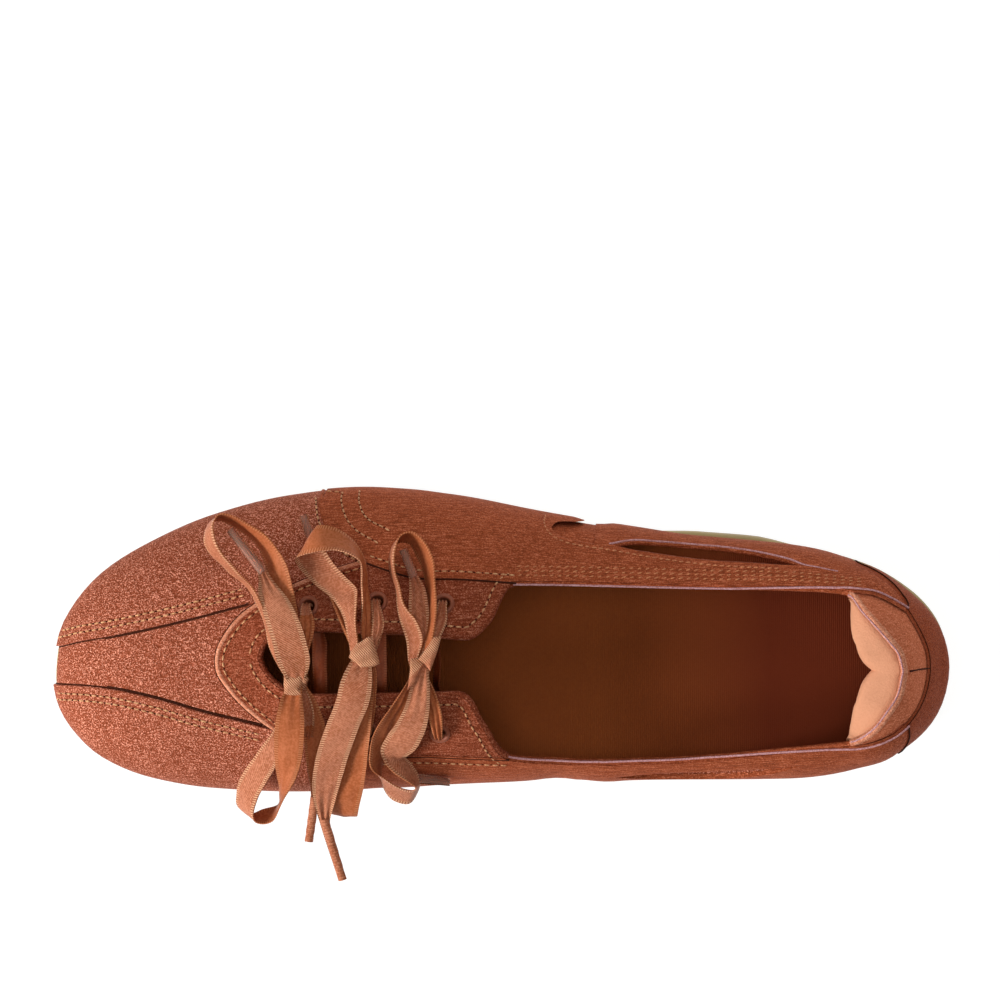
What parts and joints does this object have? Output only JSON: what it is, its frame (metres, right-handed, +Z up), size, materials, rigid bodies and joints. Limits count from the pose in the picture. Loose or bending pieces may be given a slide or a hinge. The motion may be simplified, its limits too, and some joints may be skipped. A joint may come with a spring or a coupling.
{
  "type": "ballet sneaker",
  "caption": "Low ballet sneaker for the right foot: satin upper with a deep collar and cut-outs in its quarters, a thin rubber sole, and a throat closed by ribbon bows tied through eyelets.",
  "frame": {"origin": "the middle of the shoe's length and width, bows left out, on the floor that the sole stands on", "axes": "+X from toe to heel, +Y to the outer (lateral) side of the foot, +Z up from the floor"},
  "size_m": [0.2606, 0.1125, 0.0666],
  "materials": {
    "satin": "rose-brown satin with a fine cross grain and a soft sheen",
    "ribbon": "light rose satin ribbon with a stitched edge",
    "lining": "soft matte peach cloth over padding",
    "insole_fabric": "dark brown ribbed cloth, matte",
    "outsole_rubber": "gum-coloured rubber, matte",
    "eyelet": "enamelled in the colour of the satin, half gloss",
    "thread": "tan-gold twisted sewing thread"
  },
  "bodies": {
    "root": {"outsole": "outsole_rubber", "insole": "insole_fabric", "upper": "satin", "vamp_wing_lateral": "satin", "vamp_wing_medial": "satin", "eyestay": "satin", "quarter_overlay_lateral": "satin", "quarter_overlay_medial": "satin", "heel_counter": "satin", "heel_collar": "satin", "heel_lining": "lining", "eyelet_lateral_1": "eyelet", "eyelet_lateral_2": "eyelet", "eyelet_lateral_3": "eyelet", "eyelet_medial_1": "eyelet", "eyelet_medial_2": "eyelet", "eyelet_medial_3": "eyelet", "lace_bar_1": "ribbon", "lace_bar_2": "ribbon", "lace_bar_3": "ribbon", "bow_1": "ribbon", "bow_2": "ribbon", "bow_3": "ribbon"}
  },
  "joints": []
}
